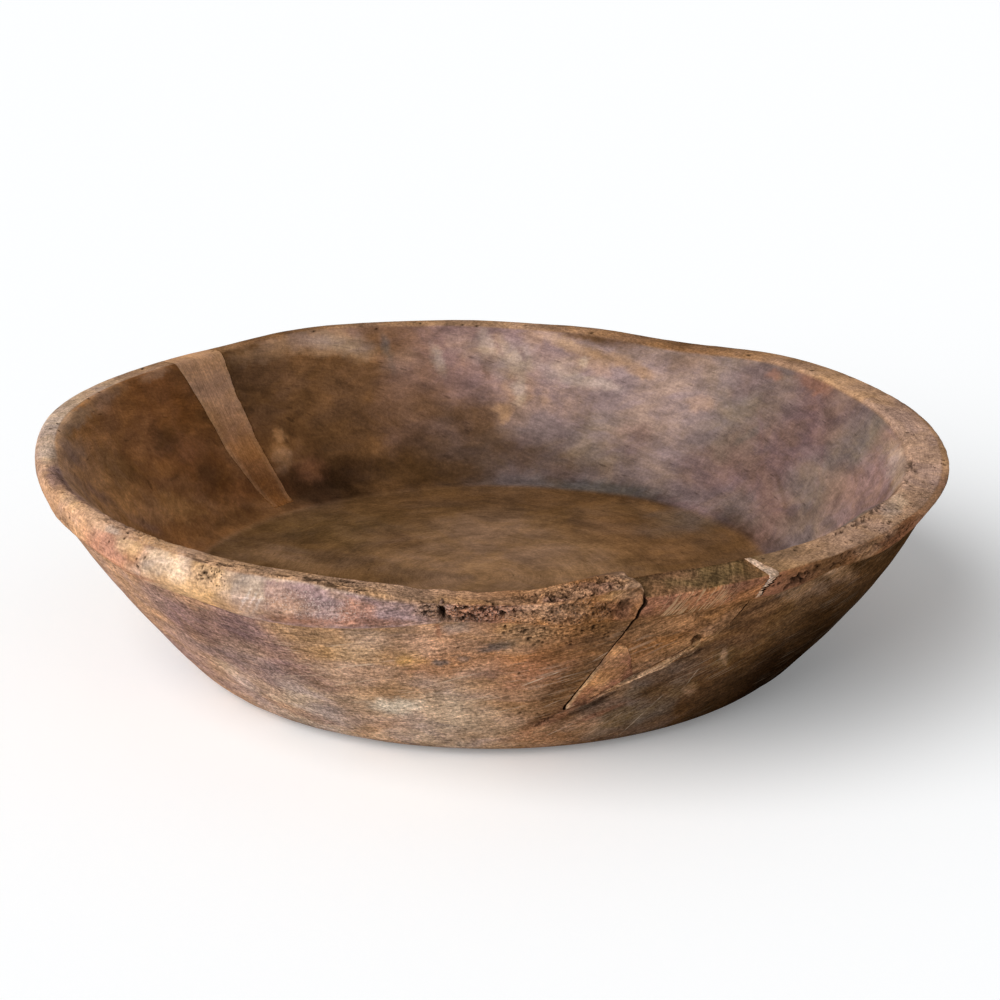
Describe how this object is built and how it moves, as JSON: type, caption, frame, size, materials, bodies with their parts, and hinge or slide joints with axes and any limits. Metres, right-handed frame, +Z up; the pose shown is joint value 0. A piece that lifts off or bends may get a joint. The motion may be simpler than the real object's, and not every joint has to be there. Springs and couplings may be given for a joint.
{
  "type": "dough bowl",
  "caption": "Round shallow wooden dough bowl, carved from one block, with a thick uneven rim, flared wall, flat foot and old wood repairs let into its wall.",
  "frame": {"origin": "middle of the flat foot, at the level of the table", "axes": "+Z up out of the hollow; -Y towards the front, where the cracked patch is; +X to the right"},
  "size_m": [0.4299, 0.444, 0.1039],
  "materials": {
    "bowl_wood": "worn, dry, waxed",
    "wedge_wood": "worn, satin",
    "patch_wood": "worn, sawn",
    "tongue_wood": "worn, dry",
    "glue": "dark old glue",
    "filler": "fibre and glue, rough",
    "putty": "pale, matte"
  },
  "bodies": {
    "root": {"bowl_body": "bowl_wood", "rear_wedge": "wedge_wood", "rear_wedge_glue": "glue", "front_rim_patch": "patch_wood", "front_tongue": "tongue_wood", "front_seam_filler": "filler", "rim_seam_putty": "putty"}
  },
  "joints": []
}
